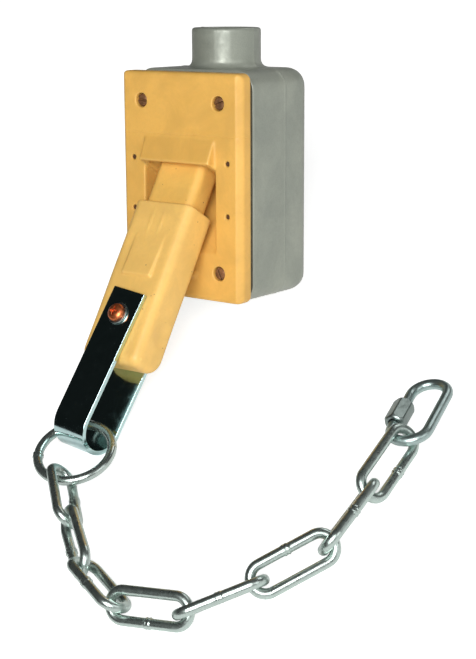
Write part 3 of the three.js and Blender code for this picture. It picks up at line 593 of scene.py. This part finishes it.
def make_cover():
    """The yellow cover, with its raised moulding mark and its faint seam."""
    cover = melt(cad_copy("cover", "cover_plate", DEVICE, "cover"), 0.55, 9)

    def marks(x, y, z, normal):
        facing = max(0.0, -normal.y)
        bump = MARK_HEIGHT * bell(math.hypot(x - MARK_PLACE[0], z - MARK_PLACE[1]), MARK_RADIUS)
        seam = -SEAM_DEPTH * bell(z - SEAM_HEIGHT, SEAM_WIDTH) if y < 1 else 0.0
        waves = 0.05 * math.sin(x / 9 + 1) * math.sin(z / 13)
        return facing * (bump + seam + waves)

    push(cover, marks)
    settle(cover, "housing", "yellow", "cover_plate")


OUTSIDE_X, OUTSIDE_Z = 34, 55
PARTING_HEIGHT, PARTING_WIDTH = 0.16, 1.5


def make_box():
    """The grey casting, with the raised parting line round its outside."""
    box = melt(cad_copy("box_casting", "box_body", DEVICE, "casting"), 0.8, 5)

    def parting(x, y, z, normal):
        outside = abs(x) > OUTSIDE_X or abs(z) > OUTSIDE_Z
        return PARTING_HEIGHT * (bell(y - PARTING_DEPTH, PARTING_WIDTH) - 1) if outside else 0.0

    push(box, parting)
    settle(box, "housing", "casting", "box_body")


HUB_THREAD_LENGTH, HUB_BORE = 17.4, 13.3
THREAD_PITCH, THREAD_DEPTH = 1.81, 0.75


def make_hub_thread():
    """The pipe thread inside the hub: one helical ridge standing in from the bore's wall."""
    sides, steps = 64, 96
    top = HUB_TOP - 1.2
    inner = []
    for level in range(steps + 1):
        z = top - HUB_THREAD_LENGTH * level / steps
        ring = []
        fade = min(1.0, level / 4, (steps - level) / 4)
        for i in range(sides):
            turn = i / sides
            share = ((z / THREAD_PITCH + turn) % 1.0) * 2 - 1
            radius = HUB_BORE + 0.15 - THREAD_DEPTH * (1 - abs(share)) * fade
            angle = 2 * math.pi * turn
            ring.append(Vector((radius * math.cos(angle), HUB_SETBACK + radius * math.sin(angle), z)) * MM)
        inner.append(ring)
    wall = HUB_BORE + 0.8
    outer = [[Vector((wall * math.cos(a), HUB_SETBACK + wall * math.sin(a), z)) * MM
              for a in angles_round(sides)] for z in (top - HUB_THREAD_LENGTH, top)]
    mesh = grid_solid("hub_thread", inner + outer, closed_along=True)
    thread = new_piece("hub_thread", mesh, DEVICE, "thread")
    settle(thread, "housing", "casting")


def make_nozzle():
    nozzle = melt(cad_copy("nozzle", "receptacle_body", PLUG, "nozzle"), 0.5, 12)
    settle(nozzle, "housing", "yellow", "receptacle_body")


SCREW_TO_AXIS = 70.7


def make_sleeve():
    """The plug's sleeve, with two low ridges on its front, shallow waves and a dent near its end."""
    sleeve = melt(cad_copy("plug_sleeve_moulding", "plug_sleeve", PLUG, "sleeve"), 0.5, 7)

    def marks(x, y, z, normal):
        axis_z = z - SCREW_TO_AXIS
        front = max(0.0, -normal.y)
        ridges = sum(bell(x - at, 1.6) for at in (-3.5, 3.5)) * bell(axis_z + 19, 9)
        waves = math.sin(x / 6 + axis_z / 17) * math.sin(axis_z / 11 + 0.7)
        dent = bell(math.hypot(y - 2, axis_z + 74), 8) * max(0.0, normal.x)
        return front * 0.22 * ridges + 0.09 * waves - 0.9 * dent

    push(sleeve, marks)
    settle(sleeve, "plug", "yellow", "plug_sleeve")


# ---- Screws and washers -----------------------------------------------------------------------------


def bar_cutter(name, half_x, half_z, front, back, place):
    bm = bmesh.new()
    bmesh.ops.create_cube(bm, size=1)
    bmesh.ops.scale(bm, verts=bm.verts, vec=Vector((2 * half_x, back - front, 2 * half_z)) * MM)
    bmesh.ops.translate(bm, verts=bm.verts, vec=Vector((0, (front + back) / 2, 0)) * MM)
    return new_piece(name, mesh_from(name, bm), place, "steel")


def at_node(place, node):
    """place moved across its own x and z to the middle of a node."""
    points = [place.inverted() @ point for point in node_points(node)]
    middle = [(min(p[i] for p in points) + max(p[i] for p in points)) / 2 for i in (0, 2)]
    return place @ Matrix.Translation((middle[0], 0, middle[1]))


def make_cover_screws():
    """Sunk screws: a slightly domed head with a slot softened at its edges, set at a different turn in each hole.
    """
    profile = [(0, 0.8), (1.6, 0.8), (2.7, 0.95), (3.15, 1.3), (3.3, 1.9), (3.3, 3.4), (2.1, 3.4),
               (2.1, 25.6), (1.7, 26.0), (0, 26.0)]
    for number, turn in ((1, 12), (2, -20), (3, 40), (4, 64)):
        node = f"cover_screw_{number}"
        place = at_node(DEVICE, node) @ Matrix.Rotation(math.radians(turn), 4, "Y")
        screw = new_piece(f"cover_screw_head_{number}", turned(node, profile), place, "bronze")
        cut_by(screw, bar_cutter("slot", 5, 0.55, -1, 2.1, place))
        melt(screw, 0.16, 3)
        settle(screw, "housing", "cover_screws", node)


STRAP_OUTER, STRAP_THICKNESS, STRAP_WIDTH = 13.6, 2.5, 21.0
GAP, WASHER = 0.3, 1.0
SCREW_HEAD_BASE = -(STRAP_OUTER + 2 * GAP + WASHER)


def make_strap_screw():
    """The strap's through screw, with a dome head and a crossed recess."""
    base = SCREW_HEAD_BASE
    dome = [(4.6 * math.sin(a), base - 2.8 + 2.2 * (1 - math.cos(a)))
            for a in (math.radians(90) * i / 14 for i in range(1, 15))]
    profile = [(0, base - 2.8), *dome, (4.6, base), (2.5, base), (2.5, 20.2), (2.1, 20.6), (0, 20.6)]
    screw = new_piece("strap_screw_dome", turned("strap_screw_dome", profile, 96), PLUG, "copper")
    cut_by(screw, bar_cutter("recess_across", 2.3, 0.55, base - 4, base - 1.2, PLUG))
    cut_by(screw, bar_cutter("recess_along", 0.55, 2.3, base - 4, base - 1.2, PLUG))
    melt(screw, 0.14, 4)
    settle(screw, "plug", "copper_screw", "strap_screw")


def make_washer(name, node, front):
    """A stamped washer: one edge rolled over, the other square."""
    inner, outer, back = 2.8, 5.6, front + WASHER
    profile = [(inner, front + 0.25), (inner + 0.2, front), (outer - 0.45, front),
               (outer - 0.15, front + 0.12), (outer, front + 0.4), (outer, back - 0.1),
               (outer - 0.1, back), (inner, back)]
    rings = [ring_about_y(radius, y, 72) for radius, y in profile]
    washer = flat_faced(new_piece(name, grid_solid(name, rings, closed_along=True), PLUG, "steel"))
    settle(washer, "plug", "steel", node)


def make_strap_nut():
    nut = melt(cad_copy("strap_nut_hex", "strap_nut", PLUG, "steel"), 0.2, 3)
    settle(nut, "plug", "steel", "strap_nut")


# ---- Strap ------------------------------------------------------------------------------------------

STRAP_TOP = 13.0
EDGE_ROUND = 0.45


def bar_section():
    """The strap's section: (across, outward) pairs round a rectangle with small round corners."""
    half_width, half_thickness = STRAP_WIDTH / 2 - EDGE_ROUND, STRAP_THICKNESS / 2 - EDGE_ROUND
    points = []
    for quarter, (sx, sy) in enumerate(((1, 1), (-1, 1), (-1, -1), (1, -1))):
        for i in range(5):
            angle = math.radians(90 * (quarter + i / 4))
            points.append((sx * half_width + EDGE_ROUND * math.cos(angle),
                           sy * half_thickness + EDGE_ROUND * math.sin(angle)))
    return points


def strap_path():
    """The strap's middle line as (y, z, outward y, outward z), from the front leg's top to the rear's."""
    radius = STRAP_OUTER - STRAP_THICKNESS / 2
    low = -BEND_BELOW_SCREW / MM
    steps = 12
    legs = [STRAP_TOP + (low - STRAP_TOP) * i / steps for i in range(steps)]
    front = [(-radius, z, -1.0, 0.0) for z in legs]
    bend = [(-radius * math.cos(a), low - radius * math.sin(a), -math.cos(a), -math.sin(a))
            for a in (math.pi * i / 64 for i in range(65))]
    rear = [(radius, z, 1.0, 0.0) for z in reversed(legs)]
    return front + bend + rear


def make_strap():
    section = bar_section()
    rings = [[Vector((across, y + out_y * out, z + out_z * out)) * MM for across, out in section]
             for y, z, out_y, out_z in strap_path()]
    strap = new_piece("strap_bar", grid_solid("strap_bar", rings), STRAP, "strap")
    hole = turned("hole", [(0, -30), (2.8, -30), (2.8, 30), (0, 30)])
    cut_by(strap, new_piece("hole", hole, STRAP, "steel"))
    flat_faced(strap)
    settle(strap, "strap", "zinc", "pull_strap")


# ---- Ring, chain and quick link ---------------------------------------------------------------------


def weld_swell(distance, angle):
    """How much a butt weld's trimmed flash swells the wire, at this distance from it along the wire."""
    collar = bell(distance, 1.9)
    ridge = bell(abs(distance) - 1.0, 0.5)
    rough = 0.5 + 0.5 * math.sin(3 * angle + 1.3) * math.cos(2 * angle - 0.6)
    return 0.2 * collar + (0.22 + 0.2 * rough) * ridge


def make_wire_loop(name, node, body, place, half_straight, radius, wire, look, welded=True):
    path, length = stadium(half_straight, radius, 0.45)

    def radius_at(index, angle):
        at = path[index][4]
        distance = min(at, length - at)
        flattened = 1 - 0.012 * math.cos(2 * angle)
        return wire / 2 * flattened + (weld_swell(distance, angle) if welded else 0.0)

    loop = new_piece(name, tube(name, path, radius_at), place, look)
    settle(loop, body, "zinc", node)


LINK_WIRE, LINK_RADIUS, LINK_STRAIGHT = 4.8, 6.6, 13.3

# Where each link's weld points, as shares of the camera's right and up.
WELD_SIDES = {1: (1, 0.2), 2: (-1, -0.6), 3: (-1, -0.4), 4: (-0.2, -1),
              5: (-0.3, 1), 6: (-0.3, 1), 7: (-0.7, 0.7), 8: (1, -0.6)}


def view_direction(right, up):
    return VIEW_RIGHT * right + VIEW_UP * up


def make_chain():
    for number, side in WELD_SIDES.items():
        node = f"chain_link_{number}"
        place = loop_frame(node, None, view_direction(*side))
        make_wire_loop(f"chain_wire_{number}", node, f"link_{number}", place, LINK_STRAIGHT, LINK_RADIUS,
                       LINK_WIRE, "chain")


def make_ring():
    left = view_direction(-1, -0.12)
    place = loop_frame("pull_ring", view_direction(0.12, -1), left)
    make_wire_loop("ring_wire", "pull_ring", "ring", place, 0.0, 18.8, LINK_WIRE, "ring")


QUICK_WIRE, QUICK_RADIUS, QUICK_STRAIGHT = 5.0, 9.0, 13.0
GATE_START, GATE_END, NUT_CENTRE = -9.5, -3.5, -2.5
NUT_FLATS, NUT_LENGTH = 9.4, 15.0
QUICK_PITCH, GROOVE_DEPTH, THREADED_TO = 0.8, 0.26, 12.3


def quick_frame():
    """The quick link's frame: x along it, away from the chain, y towards its nut."""
    x = Vector(joints["quick_nut_travel"]["axis"]).normalized()
    nut = node_points("quick_link_nut")
    body = node_points("quick_link_body")
    nut_middle = sum(nut, Vector()) / len(nut)
    body_middle = sum(body, Vector()) / len(body)
    side = nut_middle - body_middle
    y = (side - x * side.dot(x)).normalized()
    z = x.cross(y)
    turn = matrix_of(Vector(), x, y, z)
    local = [turn.inverted() @ point for point in body]
    middle = Vector([(min(p[i] for p in local) + max(p[i] for p in local)) / 2 for i in range(3)])
    return matrix_of(turn @ middle, x, y, z)


def gated_path():
    """The quick link's wire from one side of its gate round to the other."""
    path, length = stadium(QUICK_STRAIGHT, QUICK_RADIUS, 0.2)
    on_gate_side = [p for p in path if abs(p[1] - QUICK_RADIUS) < 0.001 and abs(p[0]) <= QUICK_STRAIGHT]
    beyond = [p for p in path if not (p in on_gate_side and GATE_START < p[0] < GATE_END)]
    first = next(i for i, p in enumerate(beyond)
                 if p in on_gate_side and GATE_END <= p[0] < 0 and p[4] > length / 2)
    return beyond[first:] + beyond[:first]


def make_quick_link():
    """The open wire of the quick link, threaded on both sides of its gate."""
    place = quick_frame()
    path = gated_path()
    count = len(path)

    def radius_at(index, angle):
        x, y = path[index][0], path[index][1]
        threaded = y > 0 and (GATE_END <= x <= THREADED_TO or -THREADED_TO <= x <= GATE_START)
        groove = 0.0
        if threaded:
            fade = min(1.0, (THREADED_TO - abs(x)) / QUICK_PITCH)
            phase = (x / QUICK_PITCH + angle / (2 * math.pi)) % 1.0
            groove = GROOVE_DEPTH * fade * (1 - abs(2 * phase - 1))
        end = min(index, count - 1 - index)
        return QUICK_WIRE / 2 - groove - 0.5 * max(0, 2 - end) / 2

    mesh = tube("quick_link_wire", path, radius_at, sides=32, closed=False)
    body = new_piece("quick_link_wire", mesh, place, "quick")
    settle(body, "quick_link", "zinc", "quick_link_body")


def make_quick_nut():
    """A long hexagonal sleeve nut with turned ends and softened corners."""
    place = quick_frame()
    half, outer, hole = NUT_LENGTH / 2, NUT_FLATS / math.sqrt(3), QUICK_WIRE / 2 + GAP
    angles = angles_round(96)
    levels = [-half + share for share in (0, 0.12, 0.3, 0.6, 0.9, 1.2, 1.5, 1.8)]
    levels += [-half + 2.2 + (NUT_LENGTH - 4.4) * i / 6 for i in range(7)]
    levels += [half - share for share in (1.8, 1.5, 1.2, 0.9, 0.6, 0.3, 0.12, 0)]

    def skin(x, angle):
        facet = (angle + math.pi / 6) % (math.pi / 3) - math.pi / 6
        flat = NUT_FLATS / 2 / math.cos(facet)
        corner = outer - 0.14
        barrel = outer - 1.35 + 1.2 * min(1.0, (half - abs(x)) / 1.3) ** 0.75
        return min(flat, corner, barrel)

    def ring(x, radii):
        return [Vector((NUT_CENTRE + x, QUICK_RADIUS + radius * math.cos(a), radius * math.sin(a))) * MM
                for a, radius in zip(angles, radii)]

    chamfer = 0.35
    bore_levels = ((half, hole + chamfer), (half - chamfer, hole), (-half + chamfer, hole),
                   (-half, hole + chamfer))
    skin_rings = [ring(x, [skin(x, a) for a in angles]) for x in levels]
    bore = [ring(x, [radius] * len(angles)) for x, radius in bore_levels]
    mesh = grid_solid("quick_nut_hex", skin_rings + bore, closed_along=True)
    nut = flat_faced(new_piece("quick_nut_hex", mesh, place, "nut"), 24)
    settle(nut, "quick_nut", "steel", "quick_link_nut")


# ---- CAD nodes that stay, with their own looks ------------------------------------------------------


def dress(look, *names):
    for name in names:
        mesh = frame["nodes"][name].data
        mesh.materials.clear()
        mesh.materials.append(looks[look])


make_cover()
make_box()
make_hub_thread()
make_nozzle()
make_sleeve()
make_cover_screws()
make_strap_screw()
make_washer("strap_washer_ring_front", "strap_washer_front", SCREW_HEAD_BASE + GAP)
make_washer("strap_washer_ring_rear", "strap_washer_rear", STRAP_OUTER + GAP)
make_strap_nut()
make_strap()
make_ring()
make_chain()
make_quick_link()
make_quick_nut()
dress("gasket", "cover_gasket")
dress("insert", "plug_insert")
dress("green", "ground_screw")
dress("pins", *(f"gasket_pin_{number}" for number in range(1, 5)))
dress("brass", "shorting_bar")
for number in (1, 2):
    dress("brass", f"socket_contact_{number}", f"terminal_screw_{number}", f"plug_pin_{number}")

# ---- Floor, light and air ---------------------------------------------------------------------------


def make_floor():
    bm = bmesh.new()
    bmesh.ops.create_grid(bm, x_segments=2, y_segments=2, size=6)
    floor = bpy.data.objects.new("floor", mesh_from("floor", bm))
    bpy.context.scene.collection.objects.link(floor)
    floor.location.z = -0.0001
    look = Look("floor_paper", 0.9, on_cad=True, Emission_Color=(1, 1, 1, 1))
    look.colour(look.mix(look.noise(400, 2), rgb(224, 224, 223), rgb(228, 228, 227)))
    seen = look.nodes.new("ShaderNodeLightPath").outputs["Is Camera Ray"]
    glow = look.math("ADD", 0.2, look.math("MULTIPLY", seen, 0.55))
    look.link(glow, look.shader.inputs["Emission Strength"])
    floor.data.materials.append(look.material)


def softbox(name, place, target, width, height, watts, colour=(1, 1, 1)):
    data = bpy.data.lights.new(name, "AREA")
    data.shape = "RECTANGLE"
    data.size, data.size_y = width, height
    data.energy = watts
    data.color = colour
    light = bpy.data.objects.new(name, data)
    bpy.context.scene.collection.objects.link(light)
    light.location = place
    light.rotation_euler = (Vector(target) - Vector(place)).to_track_quat("-Z", "Y").to_euler()
    return light


def make_world():
    """A dim room, which the camera itself sees as pale."""
    world = bpy.data.worlds.new("room")
    world.use_nodes = True
    nodes, links = world.node_tree.nodes, world.node_tree.links
    dim = nodes["Background"]
    dim.inputs["Color"].default_value = (0.80, 0.92, 0.90, 1)
    dim.inputs["Strength"].default_value = 0.01
    pale = nodes.new("ShaderNodeBackground")
    pale.inputs["Color"].default_value = (1, 1, 1, 1)
    mixed = nodes.new("ShaderNodeMixShader")
    links.new(nodes.new("ShaderNodeLightPath").outputs["Is Camera Ray"], mixed.inputs["Fac"])
    links.new(dim.outputs[0], mixed.inputs[1])
    links.new(pale.outputs[0], mixed.inputs[2])
    links.new(mixed.outputs[0], nodes["World Output"].inputs["Surface"])
    bpy.context.scene.world = world


make_floor()
make_world()
softbox("key", (0.70, -1.0, 1.12), (0, 0.02, 0.04), 1.1, 1.0, 31.5)
softbox("side", (1.4, 0.1, 0.6), (0, 0.05, 0.05), 0.8, 0.9, 3.5)
softbox("back", (0.3, 1.6, 0.9), (0, 0.05, 0.03), 1.2, 0.5, 4)
bpy.context.scene.view_settings.view_transform = "Standard"
